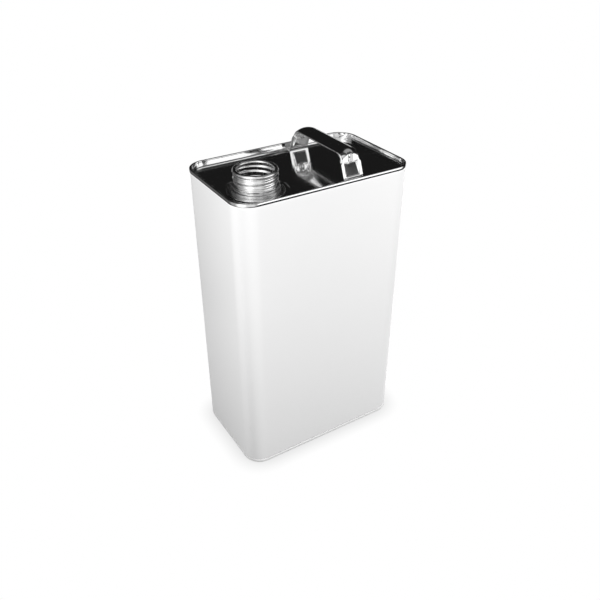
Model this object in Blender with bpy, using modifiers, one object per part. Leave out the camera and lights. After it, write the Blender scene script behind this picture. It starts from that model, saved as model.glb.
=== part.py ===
# Rectangular tinplate can with a screw neck and a fixed strap handle.
# Metres, +Z up. The origin is at the middle of the base, and +X runs along the broad side.

import math

import bmesh
import bpy
from mathutils import Vector

# The can as a whole
BODY_WIDTH = 0.176
BODY_DEPTH = 0.108
CAN_HEIGHT = 0.288
CORNER_RADIUS = 0.018
CORNER_STEPS = 7

# Sheet thicknesses
BODY_SHEET = 0.00025
END_SHEET = 0.00028
NECK_SHEET = 0.0003
STRAP_SHEET = 0.0005

# Double seams that join the body to its two ends
SEAM_HEIGHT = 0.0033
SEAM_GAP = 0.0002
HOOK_CLEARANCE = 0.0003
COMPOUND_THICKNESS = 0.00035
RIM_ROUND = 0.00055
HOOK_ROUND = 0.0003
TOP_NECK_IN = 0.00045
NECK_IN_RUN = 0.0012
BEND_STEPS = 2

# Recessed panels of the two ends
PANEL_DEPTH = 0.005
WALL_SLOPE_RUN = 0.0006
PANEL_BEND = 0.0008
PANEL_FLAT_RUN = 0.0006

# Welded side seam on the back
WELD_FROM_CORNER = 0.030
WELD_WIDTH = 0.0009
WELD_THICKNESS = 0.00035

# Screw neck
NECK_FROM_SIDE = 0.0327
NECK_FROM_FRONT = 0.0325
NECK_RISE = 0.0203
NECK_STEPS = 32
CURL_RADIUS = 0.0018
CURL_END_ANGLE = 235.0
CURL_START_ANGLE = -35.0
CURL_STEPS = 8
THREAD_RADIUS = 0.0194
THREAD_DEPTH = 0.0009
THREAD_PITCH = 0.0045
THREAD_LENGTH = 0.0090
THREAD_START = 0.0036
THREAD_CREST = 0.00537
THREAD_FADE_SHARE = 0.4
THREAD_ROWS = 15
BEAD_RADIUS = 0.0202
BEAD_RISE = 0.0063
BEAD_HALF_HEIGHT = 0.0007
WAIST_RADIUS = 0.0194
WAIST_RISE = 0.0042
RING_RADIUS = 0.0210
RING_RISE = 0.0026
RING_HALF_HEIGHT = 0.0005
UNDERCUT_RADIUS = 0.0200
FLANGE_RADIUS = 0.0247
FLANGE_TURN_DOWN = 0.0003
NECK_ROUND = 0.0005
NECK_BEND_STEPS = 1

# Gasket under the neck's flange
GASKET_THICKNESS = 0.0004
GASKET_INSET = 0.0005

# Collar of the top panel, which holds the neck
COLLAR_LIP = 0.0011
COLLAR_ROUND = 0.0004
EMBOSS_FROM_FLAT_EDGE = 0.0004
EMBOSS_WIDTH = 0.0012
EMBOSS_HEIGHT = 0.0003

# Strap handle
HANDLE_FROM_SIDE = 0.0599
HANDLE_FROM_EDGE = 0.0082
HANDLE_WIDTH = 0.0187
HANDLE_RISE = 0.0228
HANDLE_BEND = 0.0100
LEG_LEAN = 21.2
LEG_WIDTH = 0.0204
STRAP_CROWN = 0.0017
STRAP_CURL = 0.0010
STRAP_CURL_TURN = 230.0
STRAP_CURL_STEPS = 4
FOOT_LENGTH = 0.0045
FOOT_BEND = 0.0015
FOOT_GAP = 0.0003
CROWN_FADE_RUN = 0.0045
CURL_FADE_RUN = 0.0030
RECESS_BELOW_BEND = 0.0009
RECESS_ABOVE_ANKLE = 0.0013
RECESS_INSIDE_CURL = 0.0006
RECESS_STEP = 0.0010
RECESS_DEPTH_HIGH = 0.0014
RECESS_DEPTH_LOW = 0.0003
DIMPLE_WIDTH = 0.0066
DIMPLE_LENGTH = 0.0160
DIMPLE_ABOVE_LEG = 0.0012
DIMPLE_DEPTH = 0.0012
TOP_ROWS = 2
BEND_ROWS = 8
ANKLE_ROWS = 3
LEG_ROWS = 10

# Finishes: colour, metallic value and roughness
WHITE_ENAMEL = ((0.90, 0.90, 0.90), 0.0, 0.30)
BASE_ENAMEL = ((0.88, 0.88, 0.88), 0.0, 0.32)
BRIGHT_TINPLATE = ((0.82, 0.82, 0.82), 1.0, 0.08)
STRAP_TINPLATE = ((0.80, 0.80, 0.80), 1.0, 0.10)
BARE_WELD = ((0.55, 0.55, 0.56), 1.0, 0.35)
SEALING_COMPOUND = ((0.10, 0.11, 0.12), 0.0, 0.60)
GASKET_RUBBER = ((0.05, 0.05, 0.05), 0.0, 0.70)
SHARP_ANGLE = 40.0

# Places that follow the can's sides
NECK_X = NECK_FROM_SIDE - BODY_WIDTH / 2
NECK_Y = NECK_FROM_FRONT - BODY_DEPTH / 2
HANDLE_X = BODY_WIDTH / 2 - HANDLE_FROM_SIDE
HANDLE_SPAN = BODY_DEPTH - 2 * HANDLE_FROM_EDGE
WELD_X = BODY_WIDTH / 2 - CORNER_RADIUS - WELD_FROM_CORNER

# Heights of the panel faces, and the stack under the neck's flange
PANEL_TOP = CAN_HEIGHT - PANEL_DEPTH
GASKET_BASE = PANEL_TOP + SEAM_GAP
FLANGE_LEVEL = GASKET_BASE + GASKET_THICKNESS + SEAM_GAP + NECK_SHEET / 2

# Offsets of the seam's layers from the outer face of the body wall inside the seam
COVER_HOOK_OFFSET = SEAM_GAP + END_SHEET / 2
BODY_HOOK_OFFSET = 2 * SEAM_GAP + END_SHEET + BODY_SHEET / 2
SEAM_WALL_OFFSET = 3 * SEAM_GAP + END_SHEET + BODY_SHEET + END_SHEET / 2
CHUCK_WALL_OFFSET = -BODY_SHEET - SEAM_GAP - END_SHEET / 2
FLAT_EDGE_OFFSET = CHUCK_WALL_OFFSET - WALL_SLOPE_RUN - PANEL_BEND - PANEL_FLAT_RUN
SEAM_PROUD = SEAM_WALL_OFFSET + END_SHEET / 2

# The pressed ring round the neck reaches nearly to the edge of the top panel's flat
NECK_TO_FLAT_EDGE = min(NECK_FROM_SIDE, NECK_FROM_FRONT) - TOP_NECK_IN + FLAT_EDGE_OFFSET
EMBOSS_RADIUS = NECK_TO_FLAT_EDGE - EMBOSS_FROM_FLAT_EDGE - EMBOSS_WIDTH / 2

# Depths of the seam's layers below the face of the rim
COMPOUND_LEVEL = END_SHEET + SEAM_GAP + COMPOUND_THICKNESS / 2
BODY_HOOK_LEVEL = COMPOUND_LEVEL + COMPOUND_THICKNESS / 2 + SEAM_GAP + BODY_SHEET / 2
BODY_HOOK_TIP = SEAM_HEIGHT - END_SHEET - HOOK_CLEARANCE
COVER_HOOK_TIP = BODY_HOOK_LEVEL + BODY_SHEET / 2 + HOOK_CLEARANCE

MERGE = 0.000001
PARTS_NAME = "rectangular_tin_can"


# Helpers for profiles
def blend(value, low, high):
    """Rises smoothly from 0 at low to 1 at high."""
    share = min(max((value - low) / (high - low), 0.0), 1.0)
    return share * share * (3 - 2 * share)


def rounded(points, radius, steps):
    """Replaces each inner corner of a flat line with an arc, limited by its two sides."""
    corners = [Vector(p) for p in points]
    line = [corners[0]]
    for before, corner, after in zip(corners, corners[1:], corners[2:]):
        to_before = (before - corner).normalized()
        to_after = (after - corner).normalized()
        turn = math.pi - to_before.angle(to_after)
        reach = min(radius * math.tan(turn / 2), (before - corner).length / 2, (after - corner).length / 2)
        arc_radius = reach / math.tan(turn / 2)
        centre = corner + (to_before + to_after).normalized() * (arc_radius / math.cos(turn / 2))
        start = corner + to_before * reach - centre
        stop = corner + to_after * reach - centre
        for step in range(steps + 1):
            share = step / steps
            weight_start = math.sin((1 - share) * turn) / math.sin(turn)
            weight_stop = math.sin(share * turn) / math.sin(turn)
            line.append(centre + start * weight_start + stop * weight_stop)
    line.append(corners[-1])
    return line


def corner_points(offset, height):
    """Points round the can's corners at an offset from its outer face, anticlockwise from +X."""
    centre_x = BODY_WIDTH / 2 - CORNER_RADIUS
    centre_y = BODY_DEPTH / 2 - CORNER_RADIUS
    radius = CORNER_RADIUS + offset
    points = []
    for side_x, side_y, first_angle in ((1, 1, 0), (-1, 1, 90), (-1, -1, 180), (1, -1, 270)):
        for step in range(CORNER_STEPS + 1):
            angle = math.radians(first_angle + 90 * step / CORNER_STEPS)
            x = side_x * centre_x + radius * math.cos(angle)
            y = side_y * centre_y + radius * math.sin(angle)
            points.append(Vector((x, y, height)))
    return points


def closed_ring(offset, height):
    points = corner_points(offset, height)
    return points + points[:1]


def slit_ring(offset, height, half_slit):
    """A ring from one side of the side seam's slit in the back, round to the other side."""
    points = corner_points(offset, height)
    back = BODY_DEPTH / 2 + offset
    first = Vector((WELD_X - half_slit, back, height))
    last = Vector((WELD_X + half_slit, back, height))
    return [first] + points[CORNER_STEPS + 1:] + points[:CORNER_STEPS + 1] + [last]


def neck_ring(radius_at, height):
    """Points round the neck's axis, at a radius that may depend on the angle."""
    points = []
    for step in range(NECK_STEPS + 1):
        angle = 2 * math.pi * step / NECK_STEPS
        radius = radius_at(angle)
        x = NECK_X + radius * math.cos(angle)
        y = NECK_Y + radius * math.sin(angle)
        points.append(Vector((x, y, height)))
    return points


def plain_neck_rings(profile):
    """Rings round the neck's axis for a line of radius and height pairs."""
    rings = []
    for point in profile:
        rings.append(neck_ring(lambda angle, radius=point.x: radius, point.y))
    return rings


# Helpers for meshes
def add_grid(bm, rows, closed):
    """Adds a grid primitive and moves its vertices to rows of points."""
    columns = len(rows[0]) - 1
    grid = bmesh.ops.create_grid(bm, x_segments=columns, y_segments=len(rows) - 1, size=1.0)
    points = [point for row in rows for point in row]
    for vert, point in zip(grid["verts"], points):
        vert.co = point
    if closed:
        bmesh.ops.remove_doubles(bm, verts=grid["verts"], dist=MERGE)


def boundary_at(bm, height):
    """Open edges of a mesh that lie at one height."""
    edges = []
    for edge in bm.edges:
        levels = [abs(vert.co.z - height) for vert in edge.verts]
        if edge.is_boundary and max(levels) < MERGE:
            edges.append(edge)
    return edges


def make_material(name, finish):
    colour, metallic, roughness = finish
    material = bpy.data.materials.new(name)
    material.use_nodes = True
    shader = material.node_tree.nodes["Principled BSDF"]
    shader.inputs["Base Color"].default_value = (*colour, 1.0)
    shader.inputs["Metallic"].default_value = metallic
    shader.inputs["Roughness"].default_value = roughness
    return material


def make_sheet(name, bm, thickness, finish, collection, parent):
    """Turns an open surface into a sheet of even thickness, centred on the surface."""
    bmesh.ops.recalc_face_normals(bm, faces=bm.faces)
    mesh = bpy.data.meshes.new(name)
    bm.to_mesh(mesh)
    bm.free()
    mesh.shade_smooth()
    mesh.set_sharp_from_angle(angle=math.radians(SHARP_ANGLE))
    mesh.materials.append(make_material(name + "_finish", finish))
    sheet = bpy.data.objects.new(name, mesh)
    collection.objects.link(sheet)
    sheet.parent = parent
    solidify = sheet.modifiers.new("thickness", "SOLIDIFY")
    solidify.thickness = thickness
    solidify.offset = 0.0
    solidify.use_even_offset = True
    solidify.use_quality_normals = True
    return sheet


# Body
def hook_line(rim, inward, wall_offset):
    """Half of the body's outline: the hook in one seam, then the wall just past that seam."""
    hook = wall_offset + BODY_HOOK_OFFSET
    wall = wall_offset - BODY_SHEET / 2
    bend = rim + inward * BODY_HOOK_LEVEL
    corners = [
        (hook, rim + inward * BODY_HOOK_TIP),
        (hook, bend),
        (wall, bend),
        (wall, rim + inward * SEAM_HEIGHT),
    ]
    line = rounded(corners, HOOK_ROUND, BEND_STEPS)
    full = rim + inward * (SEAM_HEIGHT + NECK_IN_RUN)
    line.append(Vector((-BODY_SHEET / 2, full)))
    return line


def body_rows(half_slit):
    bottom = hook_line(0.0, 1, -SEAM_PROUD)
    top = hook_line(CAN_HEIGHT, -1, -TOP_NECK_IN)
    line = bottom + top[::-1]
    return [slit_ring(point.x, point.y, half_slit) for point in line]


def make_body(collection, parent):
    bm = bmesh.new()
    add_grid(bm, body_rows(WELD_WIDTH / 2 + SEAM_GAP), False)
    make_sheet("body_shell", bm, BODY_SHEET, WHITE_ENAMEL, collection, parent)


def make_side_weld(collection, parent):
    """The fused lap of the body's two edges, a little thicker than the sheet."""
    bm = bmesh.new()
    rows = []
    for row in body_rows(WELD_WIDTH / 2):
        rows.append([row[-1], row[0]])
    add_grid(bm, rows, False)
    make_sheet("side_seam_weld", bm, WELD_THICKNESS, BARE_WELD, collection, parent)


# Ends
def end_line(rim, inward, wall_offset):
    """An end's outline: cover hook, seam wall, rim, chuck wall and the edge of the panel."""
    chuck = wall_offset + CHUCK_WALL_OFFSET
    panel = rim + inward * (PANEL_DEPTH + END_SHEET / 2)
    foot = chuck - WALL_SLOPE_RUN
    seam_corners = [
        (wall_offset + COVER_HOOK_OFFSET, rim + inward * COVER_HOOK_TIP),
        (wall_offset + COVER_HOOK_OFFSET, rim + inward * (SEAM_HEIGHT - END_SHEET / 2)),
        (wall_offset + SEAM_WALL_OFFSET, rim + inward * (SEAM_HEIGHT - END_SHEET / 2)),
        (wall_offset + SEAM_WALL_OFFSET, rim + inward * SEAM_HEIGHT / 2),
    ]
    rim_corners = [
        (wall_offset + SEAM_WALL_OFFSET, rim + inward * SEAM_HEIGHT / 2),
        (wall_offset + SEAM_WALL_OFFSET, rim + inward * END_SHEET / 2),
        (chuck, rim + inward * END_SHEET / 2),
        (chuck, rim + inward * SEAM_HEIGHT / 2),
    ]
    wall_corners = [
        (chuck, rim + inward * SEAM_HEIGHT / 2),
        (foot, panel),
        (wall_offset + FLAT_EDGE_OFFSET, panel),
    ]
    line = rounded(seam_corners, HOOK_ROUND, BEND_STEPS)
    line += rounded(rim_corners, RIM_ROUND, BEND_STEPS)[1:]
    line += rounded(wall_corners, PANEL_BEND, BEND_STEPS)[1:]
    return line


def end_rows(rim, inward, wall_offset):
    return [closed_ring(point.x, point.y) for point in end_line(rim, inward, wall_offset)]


def make_bottom(collection, parent):
    bm = bmesh.new()
    rows = end_rows(0.0, 1, -SEAM_PROUD)
    add_grid(bm, rows, True)
    bmesh.ops.edgeloop_fill(bm, edges=boundary_at(bm, rows[-1][0].z))
    make_sheet("bottom_end", bm, END_SHEET, BASE_ENAMEL, collection, parent)


def collar_radius():
    """Middle of the collar's wall, which clears the narrowest part of the neck."""
    return UNDERCUT_RADIUS - NECK_SHEET - SEAM_GAP - END_SHEET / 2


def make_top(collection, parent):
    """The top end, whose hole has an upturned collar with a lip inside the neck's ring."""
    panel = PANEL_TOP - END_SHEET / 2
    collar = collar_radius()
    lip_level = PANEL_TOP + RING_RISE
    collar_corners = [
        (EMBOSS_RADIUS - 2 * EMBOSS_WIDTH, panel),
        (collar, panel),
        (collar, lip_level),
        (collar + COLLAR_LIP, lip_level),
    ]
    line = [
        Vector((EMBOSS_RADIUS + EMBOSS_WIDTH / 2, panel)),
        Vector((EMBOSS_RADIUS, panel + EMBOSS_HEIGHT)),
        Vector((EMBOSS_RADIUS - EMBOSS_WIDTH / 2, panel)),
    ]
    line += rounded(collar_corners, COLLAR_ROUND, BEND_STEPS)
    bm = bmesh.new()
    add_grid(bm, end_rows(CAN_HEIGHT, -1, -TOP_NECK_IN), True)
    add_grid(bm, plain_neck_rings(line), True)
    bmesh.ops.triangle_fill(bm, edges=boundary_at(bm, panel), use_beauty=True)
    make_sheet("top_end", bm, END_SHEET, BRIGHT_TINPLATE, collection, parent)


def make_compound(name, rim, inward, wall_offset, collection, parent):
    """The ring of sealing compound between the rim and the body's hook."""
    level = rim + inward * COMPOUND_LEVEL
    offsets = (wall_offset - BODY_SHEET / 2, wall_offset + BODY_HOOK_OFFSET)
    bm = bmesh.new()
    add_grid(bm, [closed_ring(offset, level) for offset in offsets], True)
    make_sheet(name, bm, COMPOUND_THICKNESS, SEALING_COMPOUND, collection, parent)


# Neck
def thread_radius(angle, height):
    """Middle of the sheet in the threaded length: a right-handed round thread with faded ends."""
    mouth = PANEL_TOP + NECK_RISE
    root = THREAD_RADIUS - THREAD_DEPTH - NECK_SHEET / 2
    turns = (height - (mouth - THREAD_CREST)) / THREAD_PITCH - angle / (2 * math.pi)
    crest = 0.5 + 0.5 * math.cos(2 * math.pi * turns)
    fade = THREAD_FADE_SHARE * THREAD_PITCH
    start = mouth - THREAD_START
    stop = start - THREAD_LENGTH
    weight = blend(start - height, 0.0, fade) * blend(height - stop, 0.0, fade)
    return root + THREAD_DEPTH * crest * weight


def curl_line():
    """The mouth's rolled edge, from its hidden end over the top to the outside."""
    radius = CURL_RADIUS - NECK_SHEET / 2
    centre = Vector((THREAD_RADIUS - CURL_RADIUS, PANEL_TOP + NECK_RISE - CURL_RADIUS))
    line = []
    for step in range(CURL_STEPS + 1):
        share = step / CURL_STEPS
        angle = math.radians(CURL_END_ANGLE + (CURL_START_ANGLE - CURL_END_ANGLE) * share)
        line.append(centre + radius * Vector((math.cos(angle), math.sin(angle))))
    return line


def neck_base_line():
    """The bead, waist, ring, undercut and flange below the thread."""
    half = NECK_SHEET / 2
    root = THREAD_RADIUS - THREAD_DEPTH - half
    thread_end = PANEL_TOP + NECK_RISE - THREAD_START - THREAD_LENGTH
    bead = PANEL_TOP + BEAD_RISE
    ring = PANEL_TOP + RING_RISE
    corners = [
        (root, thread_end),
        (BEAD_RADIUS - half, bead + BEAD_HALF_HEIGHT),
        (BEAD_RADIUS - half, bead - BEAD_HALF_HEIGHT),
        (WAIST_RADIUS - half, PANEL_TOP + WAIST_RISE),
        (RING_RADIUS - half, ring + RING_HALF_HEIGHT),
        (RING_RADIUS - half, ring - RING_HALF_HEIGHT),
        (UNDERCUT_RADIUS - half, (ring - RING_HALF_HEIGHT + FLANGE_LEVEL) / 2),
        (UNDERCUT_RADIUS - half, FLANGE_LEVEL),
        (FLANGE_RADIUS - half, FLANGE_LEVEL),
        (FLANGE_RADIUS, FLANGE_LEVEL - FLANGE_TURN_DOWN),
    ]
    return rounded(corners, NECK_ROUND, NECK_BEND_STEPS)


def make_neck(collection, parent):
    rows = plain_neck_rings(curl_line())
    start = PANEL_TOP + NECK_RISE - THREAD_START
    for step in range(THREAD_ROWS):
        height = start - THREAD_LENGTH * step / THREAD_ROWS
        rows.append(neck_ring(lambda angle, level=height: thread_radius(angle, level), height))
    rows += plain_neck_rings(neck_base_line())
    bm = bmesh.new()
    add_grid(bm, rows, True)
    make_sheet("neck", bm, NECK_SHEET, BRIGHT_TINPLATE, collection, parent)


def make_gasket(collection, parent):
    level = GASKET_BASE + GASKET_THICKNESS / 2
    inner = collar_radius() + END_SHEET / 2 + GASKET_INSET
    outer = FLANGE_RADIUS - GASKET_INSET
    bm = bmesh.new()
    add_grid(bm, plain_neck_rings([Vector((inner, level)), Vector((outer, level))]), True)
    make_sheet("neck_gasket", bm, GASKET_THICKNESS, GASKET_RUBBER, collection, parent)


# Handle
def strap_path():
    """Half of the strap's middle line in the YZ plane, from the top's middle to a foot's tip."""
    lean = math.radians(LEG_LEAN)
    foot = PANEL_TOP + FOOT_GAP + STRAP_SHEET / 2
    top = PANEL_TOP + HANDLE_RISE
    top_corner = HANDLE_SPAN / 2 - HANDLE_RISE * math.tan(lean)
    foot_corner = HANDLE_SPAN / 2 - (foot - PANEL_TOP) * math.tan(lean)
    middle = Vector((0.0, top))
    bend = Vector((top_corner, top))
    ankle = Vector((foot_corner, foot))
    tip = Vector((foot_corner + FOOT_LENGTH, foot))
    reach = HANDLE_BEND * math.tan((math.pi / 2 - lean) / 2)
    ankle_reach = FOOT_BEND * math.tan((math.pi / 2 - lean) / 2)
    upper = rounded([middle, bend, ankle], HANDLE_BEND, BEND_ROWS)
    lower = rounded([bend, ankle, tip], FOOT_BEND, ANKLE_ROWS)
    top_run = (bend - middle).length - reach
    leg_run = (ankle - bend).length - reach - ankle_reach
    points = [middle + (upper[1] - middle) * step / TOP_ROWS for step in range(TOP_ROWS)]
    points += upper[1:-1]
    leg_start = upper[-2]
    points += [leg_start + (lower[1] - leg_start) * step / LEG_ROWS for step in range(1, LEG_ROWS)]
    points += lower[1:]
    bend_run = HANDLE_BEND * (math.pi / 2 - lean)
    return points, top_run, bend_run, leg_run


def rolled_point(length, turn, share):
    """A place along an edge of one length that is rolled down evenly through one turn."""
    if turn < MERGE:
        return length * share, 0.0
    radius = length / turn
    return radius * math.sin(turn * share), radius * (math.cos(turn * share) - 1)


def strap_section(run, top_run, bend_run, leg_run):
    """Half of the strap's section at a run along its half: distances across and outwards."""
    leg_start = top_run + bend_run
    leg_stop = leg_start + leg_run
    flat = blend(run, leg_start - CURL_FADE_RUN, leg_start + CURL_FADE_RUN)
    on_leg = blend(run, leg_start - CROWN_FADE_RUN, leg_start)
    recess_start = leg_start + RECESS_BELOW_BEND
    recess_stop = leg_stop - RECESS_ABOVE_ANKLE
    recess = blend(run, recess_start, recess_start + RECESS_STEP)
    recess *= 1 - blend(run, recess_stop - RECESS_STEP, recess_stop)
    lowered = min(max((run - recess_start) / (recess_stop - recess_start), 0.0), 1.0)
    recess *= RECESS_DEPTH_HIGH + (RECESS_DEPTH_LOW - RECESS_DEPTH_HIGH) * lowered
    along = 1 - blend(abs(run - leg_start + DIMPLE_ABOVE_LEG), 0.0, DIMPLE_LENGTH / 2)
    shoulder = HANDLE_WIDTH / 2 - STRAP_CURL - STRAP_SHEET / 2
    border = shoulder - RECESS_INSIDE_CURL
    field = border - RECESS_STEP
    dimple_side = DIMPLE_WIDTH / 2
    section = []
    for across in (0.0, dimple_side / 2, dimple_side, (dimple_side + field) / 2, field, border, shoulder):
        share = across / shoulder
        crown = STRAP_CROWN * (1 - share * share) * (1 - on_leg)
        pressed = recess * (1 - blend(across, field, border))
        dimple = DIMPLE_DEPTH * along * (1 - blend(across, 0.0, dimple_side))
        section.append((across, crown - pressed - dimple))
    curl_turn = math.radians(STRAP_CURL_TURN)
    turn = curl_turn * (1 - flat)
    length = STRAP_CURL * curl_turn * (1 - flat) + (LEG_WIDTH / 2 - shoulder) * flat
    for step in range(1, STRAP_CURL_STEPS + 1):
        across, out = rolled_point(length, turn, step / STRAP_CURL_STEPS)
        section.append((shoulder + across, out))
    return section


def strap_row(point, normal, section, side):
    """One row across the strap, on the +Y side or mirrored to the -Y side."""
    row = []
    mirrored = [(-across, out) for across, out in section[:0:-1]]
    for across, out in mirrored + section:
        y = side * (point.x + normal.x * out)
        row.append(Vector((HANDLE_X + across, y, point.y + normal.y * out)))
    return row


def make_handle(collection, parent):
    points, top_run, bend_run, leg_run = strap_path()
    rows = []
    run = 0.0
    for index, point in enumerate(points):
        before = points[max(index - 1, 0)]
        after = points[min(index + 1, len(points) - 1)]
        along = (after - before).normalized()
        normal = Vector((-along.y, along.x))
        run += (point - before).length
        rows.append((point, normal, strap_section(run, top_run, bend_run, leg_run)))
    near = [strap_row(point, normal, section, -1) for point, normal, section in rows]
    far = [strap_row(point, normal, section, 1) for point, normal, section in rows]
    bm = bmesh.new()
    add_grid(bm, near[::-1] + far[1:], False)
    make_sheet("handle_strap", bm, STRAP_SHEET, STRAP_TINPLATE, collection, parent)


def clear_scene():
    for old in list(bpy.data.objects):
        bpy.data.objects.remove(old, do_unlink=True)


def main():
    clear_scene()
    collection = bpy.data.collections.new(PARTS_NAME)
    bpy.context.scene.collection.children.link(collection)
    parent = bpy.data.objects.new(PARTS_NAME + "_base", None)
    collection.objects.link(parent)

    make_body(collection, parent)
    make_side_weld(collection, parent)
    make_top(collection, parent)
    make_bottom(collection, parent)
    make_compound("top_seam_compound", CAN_HEIGHT, -1, -TOP_NECK_IN, collection, parent)
    make_compound("bottom_seam_compound", 0.0, 1, -SEAM_PROUD, collection, parent)
    make_neck(collection, parent)
    make_gasket(collection, parent)
    make_handle(collection, parent)


main()
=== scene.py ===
import math

import bmesh
import bpy
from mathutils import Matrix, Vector


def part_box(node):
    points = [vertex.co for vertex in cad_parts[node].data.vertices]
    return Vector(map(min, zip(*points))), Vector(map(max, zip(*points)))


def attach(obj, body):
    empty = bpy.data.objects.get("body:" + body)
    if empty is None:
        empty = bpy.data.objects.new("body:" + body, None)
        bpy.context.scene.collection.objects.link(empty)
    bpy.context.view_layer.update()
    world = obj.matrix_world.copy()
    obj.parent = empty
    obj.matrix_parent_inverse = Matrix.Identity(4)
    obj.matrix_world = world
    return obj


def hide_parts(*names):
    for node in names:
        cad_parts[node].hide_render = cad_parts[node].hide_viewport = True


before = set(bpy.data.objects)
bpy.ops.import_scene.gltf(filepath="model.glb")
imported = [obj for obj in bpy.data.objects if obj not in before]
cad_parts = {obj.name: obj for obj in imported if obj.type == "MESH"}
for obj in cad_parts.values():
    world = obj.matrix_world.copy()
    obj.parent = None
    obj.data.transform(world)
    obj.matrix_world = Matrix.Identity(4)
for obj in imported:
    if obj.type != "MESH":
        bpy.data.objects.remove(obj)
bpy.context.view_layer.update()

# Places and outer sizes, read from the frame
wall_low, wall_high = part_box("bottom_end")
seam_low, seam_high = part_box("top_end")
neck_low, neck_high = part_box("neck")
strap_low, strap_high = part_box("handle_strap")
weld_low, weld_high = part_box("side_seam_weld")
WALL_X = wall_high.x
WALL_Y = wall_high.y
CAN_HEIGHT = seam_high.z
TOP_SEAM_PROUD = seam_high.x - wall_high.x
NECK_X = (neck_low.x + neck_high.x) / 2
NECK_Y = (neck_low.y + neck_high.y) / 2
HANDLE_X = (strap_low.x + strap_high.x) / 2
FOOT_TIP = strap_high.y
WELD_X = (weld_low.x + weld_high.x) / 2
WELD_HALF = (weld_high.x - weld_low.x) / 2

# Sheets and seams
CORNER_RADIUS = 0.018
CORNER_STEPS = 22
CORNER_HOLD = 0.0012
BODY_SHEET = 0.00025
END_SHEET = 0.00028
NECK_SHEET = 0.0003
STRAP_SHEET = 0.0005
SEAM_HEIGHT = 0.0033
SEAM_GAP = 0.0002
HOOK_CLEARANCE = 0.0003
COMPOUND_THICKNESS = 0.00035
RIM_ROUND = 0.0005
SHOULDER_LEVEL = 0.0009
SHOULDER_IN = 0.0001
SHOULDER_SLOPE_RUN = 0.00028
SHOULDER_ROUND = 0.0015
SEAM_BELLY_LEVEL = 0.0015
BELLY_IN = 0.00001
SEAM_FOOT_IN = 0.00008
HOOK_ROUND = 0.0003
SEAM_FOOT_ROUND = 0.0005
NECK_IN_RUN = 0.0012
BEND_STEPS = 6

# Recessed panels
PANEL_DEPTH = 0.005
WALL_SLOPE_RUN = 0.0008
WALL_SLOPE_LEVEL = 0.0009
WALL_KNEE_LEVEL = 0.0031
PANEL_BEND = 0.0006
PANEL_FLAT_RUN = 0.0006
PANEL_HOLD = 0.0002
COLLAR_LIP = 0.0011
COLLAR_ROUND = 0.0004
EMBOSS_FROM_FLAT_EDGE = 0.0004
EMBOSS_WIDTH = 0.0012
EMBOSS_HEIGHT = 0.00012

# Neck
NECK_RISE = 0.0203
NECK_STEPS = 144
CURL_RADIUS = 0.0018
CURL_END_ANGLE = 235.0
CURL_START_ANGLE = -35.0
CURL_STEPS = 26
THREAD_RADIUS = 0.0194
THREAD_DEPTH = 0.0009
THREAD_PITCH = 0.0045
THREAD_LENGTH = 0.0090
THREAD_START = 0.0036
THREAD_CREST = 0.00537
THREAD_FADE_SHARE = 0.4
THREAD_ROWS = 56
BEAD_RADIUS = 0.0202
BEAD_RISE = 0.0063
BEAD_HALF_HEIGHT = 0.0007
WAIST_RADIUS = 0.0194
WAIST_RISE = 0.0042
RING_RADIUS = 0.0210
RING_RISE = 0.0026
RING_HALF_HEIGHT = 0.0005
UNDERCUT_RADIUS = 0.0200
FLANGE_RADIUS = (neck_high.x - neck_low.x) / 2
FLANGE_TURN_DOWN = 0.0003
NECK_ROUND = 0.0006
GASKET_THICKNESS = 0.0004

# Strap handle
HANDLE_WIDTH = 0.0187
HANDLE_RISE = 0.0228
HANDLE_BEND = 0.0100
LEG_LEAN = 21.2
LEG_WIDTH = 0.0204
STRAP_CROWN = 0.0017
STRAP_CURL = 0.0010
STRAP_CURL_TURN = 230.0
FOOT_LENGTH = 0.0045
FOOT_BEND = 0.0015
FOOT_GAP = 0.0003
CROWN_FADE_RUN = 0.0045
CURL_FADE_RUN = 0.0030
RECESS_BELOW_BEND = 0.0011
RECESS_ABOVE_ANKLE = 0.0013
RECESS_INSIDE_CURL = 0.0004
RECESS_STEP = 0.0014
RECESS_DEPTH_HIGH = 0.0026
RECESS_DEPTH_LOW = 0.0003
DIMPLE_WIDTH = 0.0066
DIMPLE_LENGTH = 0.0160
DIMPLE_ABOVE_LEG = 0.0012
DIMPLE_DEPTH = 0.0012
STRAP_ACROSS_STEPS = 30
STRAP_CURL_STEPS = 12
TOP_ROWS = 14
BEND_ROWS = 60
LEG_ROWS = 50
ANKLE_ROWS = 12
FOOT_ROWS = 10

# Heights and offsets that follow from the sizes above
PANEL_TOP = CAN_HEIGHT - PANEL_DEPTH
GASKET_BASE = PANEL_TOP + SEAM_GAP
FLANGE_LEVEL = GASKET_BASE + GASKET_THICKNESS + SEAM_GAP + NECK_SHEET / 2
COVER_HOOK_OFFSET = SEAM_GAP + END_SHEET / 2
BODY_HOOK_OFFSET = 2 * SEAM_GAP + END_SHEET + BODY_SHEET / 2
SEAM_WALL_OFFSET = 3 * SEAM_GAP + END_SHEET + BODY_SHEET + END_SHEET / 2
CHUCK_WALL_OFFSET = -BODY_SHEET - SEAM_GAP - END_SHEET / 2
FLAT_EDGE_OFFSET = CHUCK_WALL_OFFSET - WALL_SLOPE_RUN - PANEL_BEND - PANEL_FLAT_RUN
SEAM_PROUD = SEAM_WALL_OFFSET + END_SHEET / 2
TOP_WALL_OFFSET = TOP_SEAM_PROUD - SEAM_PROUD
COMPOUND_LEVEL = END_SHEET + SEAM_GAP + COMPOUND_THICKNESS / 2
BODY_HOOK_LEVEL = COMPOUND_LEVEL + COMPOUND_THICKNESS / 2 + SEAM_GAP + BODY_SHEET / 2
BODY_HOOK_TIP = SEAM_HEIGHT - END_SHEET - HOOK_CLEARANCE
COVER_HOOK_TIP = BODY_HOOK_LEVEL + BODY_SHEET / 2 + HOOK_CLEARANCE
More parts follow.
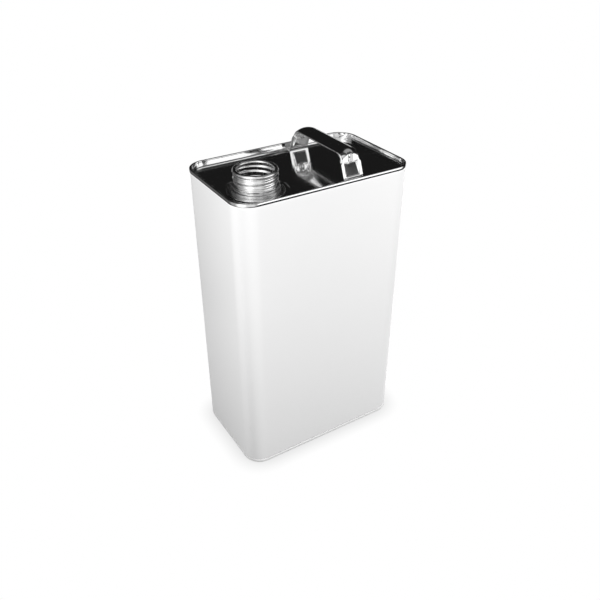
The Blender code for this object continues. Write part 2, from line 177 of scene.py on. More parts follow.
NECK_TO_FLAT_EDGE = min(NECK_X + WALL_X, NECK_Y + WALL_Y) + TOP_WALL_OFFSET + FLAT_EDGE_OFFSET
EMBOSS_RADIUS = NECK_TO_FLAT_EDGE - EMBOSS_FROM_FLAT_EDGE - EMBOSS_WIDTH / 2

# Each corner of the wall: its side along X and Y, and the angle in degrees where its arc starts
CORNERS = ((1, 1, 0), (-1, 1, 90), (-1, -1, 180), (1, -1, 270))
CORNER_TURN = 90

# Least angle of a sharp edge, and the distance under which two points are one
SHARP_ANGLE = 38.0
MERGE = 0.000001

# Camera, fitted to the edges of the photographed can
CAMERA_PLACE = Vector((-0.2967, -0.4806, 0.5094))
CAMERA_AIM = Vector((0.0280, 0.0427, 0.1094))
CAMERA_LENS = 39.8
CAMERA_SENSOR = 36.0


# Helpers for profiles
def blend(value, low, high):
    """Rises smoothly from 0 at low to 1 at high."""
    share = min(max((value - low) / (high - low), 0.0), 1.0)
    return share * share * (3 - 2 * share)


def rounded(points, radius, steps):
    """Replaces each inner corner of a flat line with an arc, limited by its two sides."""
    corners = [Vector(p) for p in points]
    line = [corners[0]]
    for before, corner, after in zip(corners, corners[1:], corners[2:]):
        to_before = (before - corner).normalized()
        to_after = (after - corner).normalized()
        turn = math.pi - to_before.angle(to_after)
        reach = min(radius * math.tan(turn / 2), (before - corner).length / 2, (after - corner).length / 2)
        arc_radius = reach / math.tan(turn / 2)
        centre = corner + (to_before + to_after).normalized() * (arc_radius / math.cos(turn / 2))
        start = corner + to_before * reach - centre
        stop = corner + to_after * reach - centre
        for step in range(steps + 1):
            share = step / steps
            weight_start = math.sin((1 - share) * turn) / math.sin(turn)
            weight_stop = math.sin(share * turn) / math.sin(turn)
            line.append(centre + start * weight_start + stop * weight_stop)
    line.append(corners[-1])
    return line


def corner_runs(offset, height):
    """The four corners' points at an offset from the wall's outer face, each with a flat lead-in."""
    radius = CORNER_RADIUS + offset
    runs = []
    for side_x, side_y, first_angle in CORNERS:
        centre = Vector((side_x * (WALL_X - CORNER_RADIUS), side_y * (WALL_Y - CORNER_RADIUS), height))
        run = []
        for step in range(CORNER_STEPS + 1):
            angle = math.radians(first_angle + CORNER_TURN * step / CORNER_STEPS)
            run.append(centre + radius * Vector((math.cos(angle), math.sin(angle), 0)))
        start = math.radians(first_angle)
        run.insert(0, run[0] - CORNER_HOLD * Vector((-math.sin(start), math.cos(start), 0)))
        run.append(run[-1] + CORNER_HOLD * Vector((-math.cos(start), -math.sin(start), 0)))
        runs.append(run)
    return runs


def closed_ring(offset, height):
    """A ring round the can, whose last point repeats its first."""
    points = [point for run in corner_runs(offset, height) for point in run]
    return points + points[:1]


def slit_ring(offset, height, half_slit):
    """A ring from one side of the side seam's slit in the back, round to the other side."""
    runs = corner_runs(offset, height)
    back = WALL_Y + offset
    first = Vector((WELD_X - half_slit, back, height))
    last = Vector((WELD_X + half_slit, back, height))
    return [first] + runs[1] + runs[2] + runs[3] + runs[0] + [last]


def neck_ring(radius_at, height):
    """A ring round the neck's axis, whose radius can change with the angle."""
    points = []
    for step in range(NECK_STEPS + 1):
        angle = 2 * math.pi * step / NECK_STEPS
        radius = radius_at(angle)
        points.append(Vector((NECK_X + radius * math.cos(angle), NECK_Y + radius * math.sin(angle), height)))
    return points


def plain_neck_rings(profile):
    """Round rings from a profile of radii and heights."""
    rings = []
    for point in profile:
        rings.append(neck_ring(lambda angle, radius=point.x: radius, point.y))
    return rings


# Helpers for meshes
def add_grid(bm, rows, closed):
    """Faces through rows of points; a closed grid has its first and last columns merged."""
    columns = len(rows[0]) - 1
    grid = bmesh.ops.create_grid(bm, x_segments=columns, y_segments=len(rows) - 1, size=1.0)
    points = [point for row in rows for point in row]
    for vert, point in zip(grid["verts"], points):
        vert.co = point
    if closed:
        bmesh.ops.remove_doubles(bm, verts=grid["verts"], dist=MERGE)


def boundary_at(bm, height):
    """The open edges at one height."""
    edges = []
    for edge in bm.edges:
        levels = [abs(vert.co.z - height) for vert in edge.verts]
        if edge.is_boundary and max(levels) < MERGE:
            edges.append(edge)
    return edges


def make_piece(name, bm, thickness, material, node):
    """A sheet of even thickness on an open surface, which stands for a node and rides with it."""
    bmesh.ops.recalc_face_normals(bm, faces=bm.faces)
    mesh = bpy.data.meshes.new(name)
    bm.to_mesh(mesh)
    bm.free()
    source = bpy.data.objects.new(name + "_source", mesh)
    bpy.context.scene.collection.objects.link(source)
    solidify = source.modifiers.new("thickness", "SOLIDIFY")
    solidify.thickness = thickness
    solidify.offset = 0.0
    solidify.use_even_offset = True
    solidify.use_quality_normals = True
    evaluated = source.evaluated_get(bpy.context.evaluated_depsgraph_get())
    final = bpy.data.meshes.new_from_object(evaluated)
    final.name = name
    final.shade_smooth()
    final.set_sharp_from_angle(angle=math.radians(SHARP_ANGLE))
    final.materials.clear()
    final.materials.append(material)
    piece = bpy.data.objects.new(name, final)
    bpy.context.scene.collection.objects.link(piece)
    bpy.data.objects.remove(source)
    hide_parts(node)
    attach(piece, "root")


# Body and ends
def hook_line(rim, inward, wall_offset):
    """One end of the body sheet, from its hook inside the double seam to the plain wall."""
    hook = wall_offset + BODY_HOOK_OFFSET
    wall = wall_offset - BODY_SHEET / 2
    bend = rim + inward * BODY_HOOK_LEVEL
    corners = [
        (hook, rim + inward * BODY_HOOK_TIP),
        (hook, bend),
        (wall, bend),
        (wall, rim + inward * SEAM_HEIGHT),
    ]
    line = rounded(corners, HOOK_ROUND, BEND_STEPS)
    full = rim + inward * (SEAM_HEIGHT + NECK_IN_RUN)
    line.append(Vector((-BODY_SHEET / 2, full)))
    line.append(Vector((-BODY_SHEET / 2, full + inward * CORNER_HOLD)))
    return line


def make_body():
    line = hook_line(0.0, 1, -SEAM_PROUD) + hook_line(CAN_HEIGHT, -1, TOP_WALL_OFFSET)[::-1]
    half_slit = WELD_HALF + SEAM_GAP
    bm = bmesh.new()
    add_grid(bm, [slit_ring(point.x, point.y, half_slit) for point in line], False)
    make_piece("body_surface", bm, BODY_SHEET, white_enamel(), "body_shell")


def end_line(rim, inward, wall_offset):
    """An end's outline: cover hook, seam wall, rim, chuck wall and the edge of the panel."""
    chuck = wall_offset + CHUCK_WALL_OFFSET
    panel = rim + inward * (PANEL_DEPTH + END_SHEET / 2)
    foot = chuck - WALL_SLOPE_RUN
    seam_foot = rim + inward * (SEAM_HEIGHT - END_SHEET / 2)
    seam_wall = wall_offset + SEAM_WALL_OFFSET - BELLY_IN
    belly = (seam_wall, rim + inward * SEAM_BELLY_LEVEL)
    shoulder = (seam_wall - SHOULDER_IN, rim + inward * SHOULDER_LEVEL)
    seam_corners = [
        (wall_offset + COVER_HOOK_OFFSET, rim + inward * COVER_HOOK_TIP),
        (wall_offset + COVER_HOOK_OFFSET, seam_foot),
        (seam_wall - SEAM_FOOT_IN, seam_foot),
        belly,
    ]
    shoulder_corners = [
        belly,
        shoulder,
        (shoulder[0] - SHOULDER_SLOPE_RUN, rim + inward * END_SHEET / 2),
    ]
    rim_corners = [
        shoulder,
        (shoulder[0] - SHOULDER_SLOPE_RUN, rim + inward * END_SHEET / 2),
        (chuck, rim + inward * END_SHEET / 2),
        (chuck, rim + inward * WALL_SLOPE_LEVEL),
    ]
    wall_corners = [
        (chuck, rim + inward * WALL_SLOPE_LEVEL),
        (foot, rim + inward * WALL_KNEE_LEVEL),
        (foot, panel),
        (wall_offset + FLAT_EDGE_OFFSET, panel),
    ]
    line = rounded(seam_corners, SEAM_FOOT_ROUND, BEND_STEPS)
    line += rounded(shoulder_corners, SHOULDER_ROUND, BEND_STEPS)[1:-1]
    line += rounded(rim_corners, RIM_ROUND, BEND_STEPS)[1:]
    line += rounded(wall_corners, PANEL_BEND, BEND_STEPS)[1:]
    line.append(Vector((wall_offset + FLAT_EDGE_OFFSET - PANEL_HOLD, panel)))
    return line


def end_rows(rim, inward, wall_offset):
    return [closed_ring(point.x, point.y) for point in end_line(rim, inward, wall_offset)]


def make_bottom():
    bm = bmesh.new()
    rows = end_rows(0.0, 1, -SEAM_PROUD)
    add_grid(bm, rows, True)
    bmesh.ops.edgeloop_fill(bm, edges=boundary_at(bm, rows[-1][0].z))
    make_piece("bottom_end_surface", bm, END_SHEET, base_enamel(), "bottom_end")


def collar_radius():
    return UNDERCUT_RADIUS - NECK_SHEET - SEAM_GAP - END_SHEET / 2


def emboss_line(panel):
    """The pressed ring round the neck, from its outer flat to its inner one."""
    line = [Vector((EMBOSS_RADIUS + EMBOSS_WIDTH / 2 + PANEL_HOLD, panel))]
    for step in range(2 * BEND_STEPS + 1):
        share = step / BEND_STEPS - 1
        rise = EMBOSS_HEIGHT * (0.5 + 0.5 * math.cos(math.pi * share))
        line.append(Vector((EMBOSS_RADIUS - share * EMBOSS_WIDTH / 2, panel + rise)))
    line.append(Vector((EMBOSS_RADIUS - EMBOSS_WIDTH / 2 - PANEL_HOLD, panel)))
    return line


def make_top():
    panel = PANEL_TOP - END_SHEET / 2
    collar = collar_radius()
    lip_level = PANEL_TOP + RING_RISE
    collar_corners = [
        (EMBOSS_RADIUS - 2 * EMBOSS_WIDTH, panel),
        (collar, panel),
        (collar, lip_level),
        (collar + COLLAR_LIP, lip_level),
    ]
    line = emboss_line(panel) + rounded(collar_corners, COLLAR_ROUND, BEND_STEPS)
    bm = bmesh.new()
    add_grid(bm, end_rows(CAN_HEIGHT, -1, TOP_WALL_OFFSET), True)
    add_grid(bm, plain_neck_rings(line), True)
    bmesh.ops.triangle_fill(bm, edges=boundary_at(bm, panel), use_beauty=True)
    make_piece("top_end_surface", bm, END_SHEET, top_tinplate(), "top_end")


# Neck
def thread_radius(angle, height):
    """Middle of the sheet in the threaded length: a right-handed round thread with faded ends."""
    mouth = PANEL_TOP + NECK_RISE
    root = THREAD_RADIUS - THREAD_DEPTH - NECK_SHEET / 2
    turns = (height - (mouth - THREAD_CREST)) / THREAD_PITCH - angle / (2 * math.pi)
    crest = 0.5 + 0.5 * math.cos(2 * math.pi * turns)
    fade = THREAD_FADE_SHARE * THREAD_PITCH
    start = mouth - THREAD_START
    stop = start - THREAD_LENGTH
    weight = blend(start - height, 0.0, fade) * blend(height - stop, 0.0, fade)
    return root + THREAD_DEPTH * crest * weight


def curl_line():
    """The rolled mouth, from its free end inside the neck, over the top, to the outside."""
    radius = CURL_RADIUS - NECK_SHEET / 2
    centre = Vector((THREAD_RADIUS - CURL_RADIUS, PANEL_TOP + NECK_RISE - CURL_RADIUS))
    line = []
    for step in range(CURL_STEPS + 1):
        share = step / CURL_STEPS
        angle = math.radians(CURL_END_ANGLE + (CURL_START_ANGLE - CURL_END_ANGLE) * share)
        line.append(centre + radius * Vector((math.cos(angle), math.sin(angle))))
    return line


def neck_base_line():
    """The neck below its thread: bead, waist, ring, undercut and flange."""
    half = NECK_SHEET / 2
    root = THREAD_RADIUS - THREAD_DEPTH - half
    thread_end = PANEL_TOP + NECK_RISE - THREAD_START - THREAD_LENGTH
    bead = PANEL_TOP + BEAD_RISE
    ring = PANEL_TOP + RING_RISE
    corners = [
        (root, thread_end),
        (BEAD_RADIUS - half, bead + BEAD_HALF_HEIGHT),
        (BEAD_RADIUS - half, bead - BEAD_HALF_HEIGHT),
        (WAIST_RADIUS - half, PANEL_TOP + WAIST_RISE),
        (RING_RADIUS - half, ring + RING_HALF_HEIGHT),
        (RING_RADIUS - half, ring - RING_HALF_HEIGHT),
        (UNDERCUT_RADIUS - half, (ring - RING_HALF_HEIGHT + FLANGE_LEVEL) / 2),
        (UNDERCUT_RADIUS - half, FLANGE_LEVEL),
        (FLANGE_RADIUS - half, FLANGE_LEVEL),
        (FLANGE_RADIUS, FLANGE_LEVEL - FLANGE_TURN_DOWN),
    ]
    return rounded(corners, NECK_ROUND, BEND_STEPS)


def make_neck():
    rows = plain_neck_rings(curl_line())
    start = PANEL_TOP + NECK_RISE - THREAD_START
    for step in range(THREAD_ROWS):
        height = start - THREAD_LENGTH * step / THREAD_ROWS
        rows.append(neck_ring(lambda angle, level=height: thread_radius(angle, level), height))
    rows += plain_neck_rings(neck_base_line())
    bm = bmesh.new()
    add_grid(bm, rows, True)
    make_piece("neck_surface", bm, NECK_SHEET, neck_tinplate(), "neck")


# Handle
def strap_path():
    """Half of the strap's middle line: run, point and outward normal, from the top's middle to a tip."""
    lean = math.radians(LEG_LEAN)
    turn = math.pi / 2 - lean
    foot = PANEL_TOP + FOOT_GAP + STRAP_SHEET / 2
    top = PANEL_TOP + HANDLE_RISE
    ankle = FOOT_TIP - FOOT_LENGTH
    top_corner = ankle - (top - foot) * math.tan(lean)
    reach = HANDLE_BEND * math.tan(turn / 2)
    ankle_reach = FOOT_BEND * math.tan(turn / 2)
    top_run = top_corner - reach
    leg_run = (top - foot) / math.cos(lean) - reach - ankle_reach
    foot_run = FOOT_LENGTH - ankle_reach
    down = Vector((math.cos(turn), -math.sin(turn)))
    out = Vector((math.sin(turn), math.cos(turn)))
    bend_centre = Vector((top_run, top - HANDLE_BEND))
    leg_start = bend_centre + HANDLE_BEND * out
    ankle_centre = leg_start + leg_run * down + FOOT_BEND * out
    foot_start = ankle_centre - Vector((0, FOOT_BEND))
    bend_run = HANDLE_BEND * turn
    rows = []
    for step in range(TOP_ROWS):
        share = step / TOP_ROWS
        rows.append((top_run * share, Vector((top_run * share, top)), Vector((0, 1))))
    for step in range(BEND_ROWS):
        share = step / BEND_ROWS
        normal = Vector((math.sin(turn * share), math.cos(turn * share)))
        rows.append((top_run + bend_run * share, bend_centre + HANDLE_BEND * normal, normal))
    for step in range(LEG_ROWS):
        share = step / LEG_ROWS
        rows.append((top_run + bend_run + leg_run * share, leg_start + leg_run * share * down, out))
    before = top_run + bend_run + leg_run
    for step in range(ANKLE_ROWS):
        share = step / ANKLE_ROWS
        angle = turn * (1 - share)
        normal = Vector((math.sin(angle), math.cos(angle)))
        rows.append((before + FOOT_BEND * turn * share, ankle_centre - FOOT_BEND * normal, normal))
    before += FOOT_BEND * turn
    for step in range(FOOT_ROWS + 1):
        share = step / FOOT_ROWS
        rows.append((before + foot_run * share, foot_start + Vector((foot_run * share, 0)), Vector((0, 1))))
    return rows, top_run + bend_run, top_run + bend_run + leg_run


def rolled_point(length, turn, share):
    """A place along an edge of one length that is rolled down evenly through one turn."""
    if turn < MERGE:
        return length * share, 0.0
    radius = length / turn
    return radius * math.sin(turn * share), radius * (math.cos(turn * share) - 1)


def strap_section(run, leg_start, leg_stop):
    """Half of the strap's section at a run along its half: distances across and outwards."""
    flat = blend(run, leg_start - CURL_FADE_RUN, leg_start + CURL_FADE_RUN)
    on_leg = blend(run, leg_start - CROWN_FADE_RUN, leg_start)
    recess_start = leg_start + RECESS_BELOW_BEND
    recess_stop = leg_stop - RECESS_ABOVE_ANKLE
    recess = blend(run, recess_start, recess_start + RECESS_STEP)
    recess *= 1 - blend(run, recess_stop - RECESS_STEP, recess_stop)
    lowered = min(max((run - recess_start) / (recess_stop - recess_start), 0.0), 1.0)
    recess *= RECESS_DEPTH_HIGH + (RECESS_DEPTH_LOW - RECESS_DEPTH_HIGH) * lowered
    along = 1 - blend(abs(run - leg_start + DIMPLE_ABOVE_LEG), 0.0, DIMPLE_LENGTH / 2)
    shoulder = HANDLE_WIDTH / 2 - STRAP_CURL - STRAP_SHEET / 2
    border = shoulder - RECESS_INSIDE_CURL
    field = border - RECESS_STEP
    section = []
    for step in range(STRAP_ACROSS_STEPS + 1):
        share = step / STRAP_ACROSS_STEPS
        across = shoulder * share
        crown = STRAP_CROWN * (1 - share * share) * (1 - on_leg)
        pressed = recess * (1 - blend(across, field, border))
        dimple = DIMPLE_DEPTH * along * (1 - blend(across, 0.0, DIMPLE_WIDTH / 2))
        section.append((across, crown - pressed - dimple))
    curl_turn = math.radians(STRAP_CURL_TURN)
    turn = curl_turn * (1 - flat)
    length = STRAP_CURL * curl_turn * (1 - flat) + (LEG_WIDTH / 2 - shoulder) * flat
    for step in range(1, STRAP_CURL_STEPS + 1):
        across, out = rolled_point(length, turn, step / STRAP_CURL_STEPS)
        section.append((shoulder + across, out))
    return section


def strap_row(point, normal, section, side):
    """One row of points across the whole strap, on the near or far side of its middle."""
    row = []
    mirrored = [(-across, out) for across, out in section[:0:-1]]
    for across, out in mirrored + section:
        y = side * (point.x + normal.x * out)
        row.append(Vector((HANDLE_X + across, y, point.y + normal.y * out)))
    return row


def make_handle():
    path, leg_start, leg_stop = strap_path()
    near = []
    far = []
    for run, point, normal in path:
        section = strap_section(run, leg_start, leg_stop)
        near.append(strap_row(point, normal, section, -1))
        far.append(strap_row(point, normal, section, 1))
    bm = bmesh.new()
    add_grid(bm, near[::-1] + far[1:], False)
    make_piece("handle_surface", bm, STRAP_SHEET, strap_tinplate(), "handle_strap")


# Finishes: tints from dark to light, roughness from low to high, noise sizes along X, Y and Z
NOISE_LOW = 0.3
NOISE_HIGH = 0.7
FINE_DETAIL = 1.0
METALLIC = 1.0
WHITE_TINTS = ((0.885, 0.885, 0.885), (0.90, 0.90, 0.90))
BASE_TINTS = ((0.865, 0.865, 0.865), (0.88, 0.88, 0.88))
ENAMEL_ROUGHNESS = (0.38, 0.44)
ENAMEL_SPECULAR = 0.16
ENAMEL_DRIFT = (0.05, 0.05, 0.05)
PEEL_SIZE = (0.0012, 0.0012, 0.0012)
PEEL_DEPTH = 0.000012
TOP_TINTS = ((0.83, 0.83, 0.83), (0.87, 0.87, 0.87))
TOP_ROUGHNESS = (0.07, 0.10)
TOP_GRAIN = (0.02, 0.0004, 0.002)
NECK_TINTS = ((0.87, 0.87, 0.87), (0.92, 0.92, 0.92))
NECK_ROUGHNESS = (0.24, 0.28)
NECK_GRAIN = (0.002, 0.002, 0.002)
STRAP_TINTS = ((0.82, 0.82, 0.82), (0.87, 0.87, 0.87))
STRAP_ROUGHNESS = (0.08, 0.13)
STRAP_GRAIN = (0.0006, 0.02, 0.02)
TINPLATE_CLOUD = (0.02, 0.02, 0.02)
TINPLATE_RELIEF = 0.0000015
WELD_TINTS = ((0.42, 0.42, 0.43), (0.60, 0.60, 0.61))
WELD_ROUGHNESS = (0.28, 0.5)
WELD_BEADS = (0.002, 0.002, 0.0006)
WELD_RELIEF = 0.00006
COMPOUND_TINTS = ((0.08, 0.09, 0.10), (0.13, 0.14, 0.15))
COMPOUND_ROUGHNESS = (0.5, 0.65)
RUBBER_TINTS = ((0.03, 0.03, 0.03), (0.06, 0.06, 0.06))
RUBBER_ROUGHNESS = (0.6, 0.75)
ELASTIC_GRAIN = (0.0015, 0.0015, 0.0015)
ELASTIC_RELIEF = 0.00003


# Helpers for materials
def set_input(tree, socket, value):
    """Links a socket to another, or gives it a plain value."""
    if isinstance(value, bpy.types.NodeSocket):
        tree.links.new(value, socket)
    else:
        socket.default_value = value


def math_node(tree, operation, first, second=0.0):
    node = tree.nodes.new("ShaderNodeMath")
    node.operation = operation
    set_input(tree, node.inputs[0], first)
    set_input(tree, node.inputs[1], second)
    return node.outputs[0]


def map_range(tree, value, low, high, to_low, to_high, kind="LINEAR"):
    node = tree.nodes.new("ShaderNodeMapRange")
    node.interpolation_type = kind
    for index, number in enumerate((value, low, high, to_low, to_high)):
        set_input(tree, node.inputs[index], number)
    return node.outputs[0]


def object_noise(tree, size, detail=2.0):
    """Noise with features of about the given sizes along X, Y and Z."""
    place = tree.nodes.new("ShaderNodeTexCoord")
    mapping = tree.nodes.new("ShaderNodeMapping")
    mapping.inputs["Scale"].default_value = [1 / length for length in size]
    tree.links.new(place.outputs["Object"], mapping.inputs["Vector"])
    noise = tree.nodes.new("ShaderNodeTexNoise")
    noise.inputs["Scale"].default_value = 1.0
    noise.inputs["Detail"].default_value = detail
    tree.links.new(mapping.outputs["Vector"], noise.inputs["Vector"])
    return noise.outputs["Fac"]


def add_bump(tree, shader, height, depth):
    bump = tree.nodes.new("ShaderNodeBump")
    bump.inputs["Distance"].default_value = depth
    tree.links.new(height, bump.inputs["Height"])
    tree.links.new(bump.outputs["Normal"], shader.inputs["Normal"])


def tinted(tree, value, dark, light):
    """A colour between two greys or tints, by a value from 0 to 1."""
    mix = tree.nodes.new("ShaderNodeMix")
    mix.data_type = "RGBA"
    set_input(tree, mix.inputs["Factor"], value)
    mix.inputs["A"].default_value = (*dark, 1.0)
    mix.inputs["B"].default_value = (*light, 1.0)
    return mix.outputs["Result"]


def new_material(name):
    material = bpy.data.materials.new(name)
    material.use_nodes = True
    return material, material.node_tree, material.node_tree.nodes["Principled BSDF"]


def follow_noise(tree, shader, noise, tints, roughness):
    """Lets a shader's colour and roughness follow a noise."""
    dark, light = tints
    tree.links.new(tinted(tree, noise, dark, light), shader.inputs["Base Color"])
    low, high = roughness
    tree.links.new(map_range(tree, noise, NOISE_LOW, NOISE_HIGH, low, high), shader.inputs["Roughness"])


# Materials
def enamel(name, tints):
    """Stoved white enamel: a fine orange peel, with roughness that drifts a little."""
    material, tree, shader = new_material(name)
    follow_noise(tree, shader, object_noise(tree, ENAMEL_DRIFT), tints, ENAMEL_ROUGHNESS)
    shader.inputs["Specular IOR Level"].default_value = ENAMEL_SPECULAR
    add_bump(tree, shader, object_noise(tree, PEEL_SIZE, FINE_DETAIL), PEEL_DEPTH)
    return material


def white_enamel():
    return enamel("white_enamel", WHITE_TINTS)


def base_enamel():
    return enamel("base_enamel", BASE_TINTS)


def tinplate(name, tints, roughness, grain):
    """Bright tinplate: fine rolling grain, with slow cloudy drift in colour and roughness."""
    material, tree, shader = new_material(name)
    shader.inputs["Metallic"].default_value = METALLIC
    follow_noise(tree, shader, object_noise(tree, TINPLATE_CLOUD), tints, roughness)
    add_bump(tree, shader, object_noise(tree, grain, FINE_DETAIL), TINPLATE_RELIEF)
    return material


def top_tinplate():
    return tinplate("top_tinplate", TOP_TINTS, TOP_ROUGHNESS, TOP_GRAIN)


def neck_tinplate():
    return tinplate("neck_tinplate", NECK_TINTS, NECK_ROUGHNESS, NECK_GRAIN)


def strap_tinplate():
    return tinplate("strap_tinplate", STRAP_TINTS, STRAP_ROUGHNESS, STRAP_GRAIN)


def weld_steel():
    """The bare steel of the weld, with fine beads along it."""
    material, tree, shader = new_material("weld_bare_steel")
    shader.inputs["Metallic"].default_value = METALLIC
    beads = object_noise(tree, WELD_BEADS)
    follow_noise(tree, shader, beads, WELD_TINTS, WELD_ROUGHNESS)
    add_bump(tree, shader, beads, WELD_RELIEF)
    return material


def elastic(name, tints, roughness):
    """Sealing compound or rubber, matt and a little uneven."""
    material, tree, shader = new_material(name)
    grain = object_noise(tree, ELASTIC_GRAIN)
    follow_noise(tree, shader, grain, tints, roughness)
    add_bump(tree, shader, grain, ELASTIC_RELIEF)
    return material


def dress_node(name, material):
    """Gives a carried-over CAD node its material."""
    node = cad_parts[name]
    node.data.materials.clear()
    node.data.materials.append(material)


# Studio: floor, ambient light, the azimuth that bearings start from, and the dark room's tone
FLOOR_RADIUS = 0.30
FLOOR_STEPS = 96
FLOOR_DROP = 0.0001
FLOOR_TONE = 0.12
SHADOW_REACH = 0.018
SHADOW_DEPTH = 0.38
AMBIENT = 0.12
STUDIO_FRONT = math.radians(-122.0)
DARK_ROOM = 0.011
WHITE = (1.0, 1.0, 1.0, 1.0)

# Lamps: name, azimuth, distance from the can's axis, height, size and power
LAMPS = (
    ("lamp_right", -52.0, 0.88, 0.50, 0.25, 7.1),
    ("lamp_left", -157.0, 0.57, 0.37, 0.20, 2.5),
    ("lamp_back", 48.0, 1.00, 0.45, 0.50, 11.0),
)
LAMP_AIM = Vector((0.0, 0.0, 0.22))

# What mirror surfaces see, in degrees: bearing, half width, its fade, lower and upper edge, their fade;
# then the tone. The two rows at 180 and -180 are one white ground behind the can.
SOFT_BOXES = (
    (72.0, 28.0, 24.0, -17.0, 24.9, 2.4, 1.40),
    (-31.0, 26.0, 48.0, -34.0, 72.0, 12.0, 1.60),
    (8.0, 34.0, 30.0, -28.0, 64.0, 10.0, 0.80),
    (-72.0, 24.0, 30.0, -30.0, 50.0, 20.0, 0.42),
    (180.0, 40.0, 30.0, -100.0, -4.0, 8.0, 1.00),
    (-180.0, 40.0, 30.0, -100.0, -4.0, 8.0, 1.00),
    (-116.0, 18.0, 20.0, -26.0, 16.0, 12.0, 0.12),
    (10.0, 95.0, 40.0, 10.0, 95.0, 20.0, 0.045),
    (117.0, 36.0, 30.0, 42.0, 78.0, 16.0, 0.34),
)


def seen_rays(tree):
    """1 for rays from the camera, a mirror surface or through glass."""
    path = tree.nodes.new("ShaderNodeLightPath")
    seen = math_node(tree, "MAXIMUM", path.outputs["Is Camera Ray"], path.outputs["Is Glossy Ray"])
    return math_node(tree, "MAXIMUM", seen, path.outputs["Is Transmission Ray"])


def pale_floor():
    """White where it is seen, darker close to the can, and dim in the light that it throws back."""
    material = bpy.data.materials.new("pale_floor")
    material.use_nodes = True
    tree = material.node_tree
    tree.nodes.clear()
    diffuse = tree.nodes.new("ShaderNodeBsdfDiffuse")
    diffuse.inputs["Color"].default_value = (FLOOR_TONE, FLOOR_TONE, FLOOR_TONE, 1.0)
    open_sky = tree.nodes.new("ShaderNodeAmbientOcclusion")
    open_sky.inputs["Distance"].default_value = SHADOW_REACH
    glow = tree.nodes.new("ShaderNodeEmission")
    shade = map_range(tree, open_sky.outputs["AO"], 0.0, 1.0, 1.0 - SHADOW_DEPTH, 1.0)
    tree.links.new(shade, glow.inputs["Strength"])
    mix = tree.nodes.new("ShaderNodeMixShader")
    tree.links.new(seen_rays(tree), mix.inputs["Fac"])
    tree.links.new(diffuse.outputs[0], mix.inputs[1])
    tree.links.new(glow.outputs[0], mix.inputs[2])
    output = tree.nodes.new("ShaderNodeOutputMaterial")
    tree.links.new(mix.outputs[0], output.inputs["Surface"])
    return material


def make_floor():
    bm = bmesh.new()
    bmesh.ops.create_circle(bm, cap_ends=True, segments=FLOOR_STEPS, radius=FLOOR_RADIUS)
    mesh = bpy.data.meshes.new("floor")
    bm.to_mesh(mesh)
    bm.free()
    mesh.materials.append(pale_floor())
    floor = bpy.data.objects.new("floor", mesh)
    floor.location.z = -FLOOR_DROP
    bpy.context.scene.collection.objects.link(floor)


def window(tree, value, middle, half, fade):
    """1 within half of the middle, falling to 0 over the fade."""
    distance = math_node(tree, "ABSOLUTE", math_node(tree, "SUBTRACT", value, middle))
    return map_range(tree, distance, half - fade / 2, half + fade / 2, 1.0, 0.0, "SMOOTHSTEP")


def bearing_and_rise(tree):
    """A ray's bearing from the studio's front, and its rise above the horizon, in degrees."""
    place = tree.nodes.new("ShaderNodeTexCoord")
    split = tree.nodes.new("ShaderNodeSeparateXYZ")
    tree.links.new(place.outputs["Generated"], split.inputs[0])
    x, y, z = split.outputs
    front_x = math.cos(STUDIO_FRONT)
    front_y = math.sin(STUDIO_FRONT)
    ahead_x = math_node(tree, "MULTIPLY", x, front_x)
    ahead_y = math_node(tree, "MULTIPLY", y, front_y)
    ahead = math_node(tree, "ADD", ahead_x, ahead_y)
    aside_y = math_node(tree, "MULTIPLY", y, front_x)
    aside_x = math_node(tree, "MULTIPLY", x, front_y)
    aside = math_node(tree, "SUBTRACT", aside_y, aside_x)
    bearing = math_node(tree, "DEGREES", math_node(tree, "ARCTAN2", aside, ahead))
    rise = math_node(tree, "DEGREES", math_node(tree, "ARCSINE", z))
    return bearing, rise


def mirrored_room(tree):
    """What mirror surfaces see: a dark room with soft boxes, and a white ground behind the can."""
    bearing, rise = bearing_and_rise(tree)
    room = DARK_ROOM
    for middle, half, side_fade, low, high, level_fade, tone in SOFT_BOXES:
        wide = window(tree, bearing, middle, half, side_fade)
        tall = window(tree, rise, (low + high) / 2, (high - low) / 2, level_fade)
        box = math_node(tree, "MULTIPLY", math_node(tree, "MULTIPLY", wide, tall), tone)
        room = math_node(tree, "MAXIMUM", room, box)
    return room


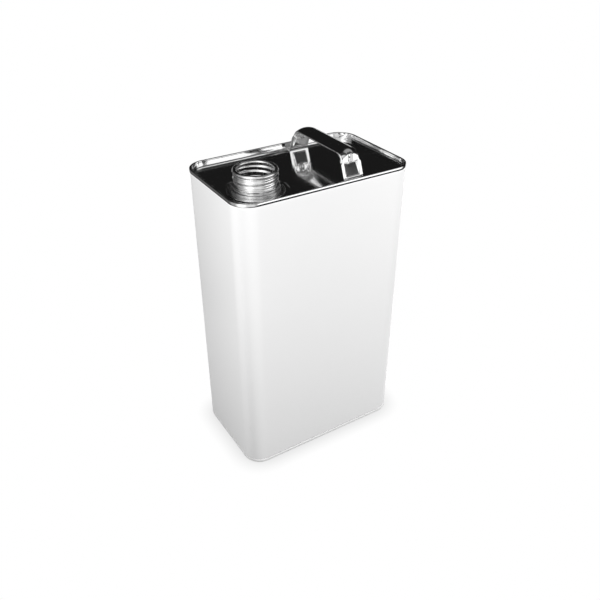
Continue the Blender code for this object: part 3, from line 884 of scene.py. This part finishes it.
def make_world():
    """Plain ambient light, a white background, and the mirrored room for mirror surfaces only."""
    world = bpy.data.worlds.new("studio")
    bpy.context.scene.world = world
    world.use_nodes = True
    world.cycles.sampling_method = "NONE"
    tree = world.node_tree
    tree.nodes.clear()
    path = tree.nodes.new("ShaderNodeLightPath")
    lit = math_node(tree, "MULTIPLY", path.outputs["Is Diffuse Ray"], AMBIENT)
    mirrored = math_node(tree, "MULTIPLY", path.outputs["Is Glossy Ray"], mirrored_room(tree))
    direct = math_node(tree, "MAXIMUM", path.outputs["Is Camera Ray"], path.outputs["Is Transmission Ray"])
    level = math_node(tree, "MAXIMUM", math_node(tree, "MAXIMUM", lit, mirrored), direct)
    background = tree.nodes.new("ShaderNodeBackground")
    background.inputs["Color"].default_value = WHITE
    tree.links.new(level, background.inputs["Strength"])
    output = tree.nodes.new("ShaderNodeOutputWorld")
    tree.links.new(background.outputs[0], output.inputs["Surface"])


def make_lamps():
    for name, azimuth, reach, height, size, power in LAMPS:
        light = bpy.data.lights.new(name, "AREA")
        light.shape = "SQUARE"
        light.size = size
        light.energy = power
        lamp = bpy.data.objects.new(name, light)
        angle = math.radians(azimuth)
        lamp.location = (reach * math.cos(angle), reach * math.sin(angle), height)
        lamp.rotation_euler = (LAMP_AIM - lamp.location).to_track_quat("-Z", "Y").to_euler()
        lamp.visible_glossy = False
        bpy.context.scene.collection.objects.link(lamp)


def make_camera():
    data = bpy.data.cameras.new("camera")
    data.lens = CAMERA_LENS
    data.sensor_width = CAMERA_SENSOR
    camera = bpy.data.objects.new("camera", data)
    camera.location = CAMERA_PLACE
    camera.rotation_euler = (CAMERA_AIM - CAMERA_PLACE).to_track_quat("-Z", "Y").to_euler()
    bpy.context.scene.collection.objects.link(camera)
    bpy.context.scene.camera = camera


make_body()
make_top()
make_bottom()
make_neck()
make_handle()
dress_node("side_seam_weld", weld_steel())
for compound in ("top_seam_compound", "bottom_seam_compound"):
    dress_node(compound, elastic(compound + "_grey", COMPOUND_TINTS, COMPOUND_ROUGHNESS))
dress_node("neck_gasket", elastic("gasket_black", RUBBER_TINTS, RUBBER_ROUGHNESS))
make_floor()
make_world()
make_lamps()
make_camera()
bpy.context.scene.view_settings.view_transform = "Standard"
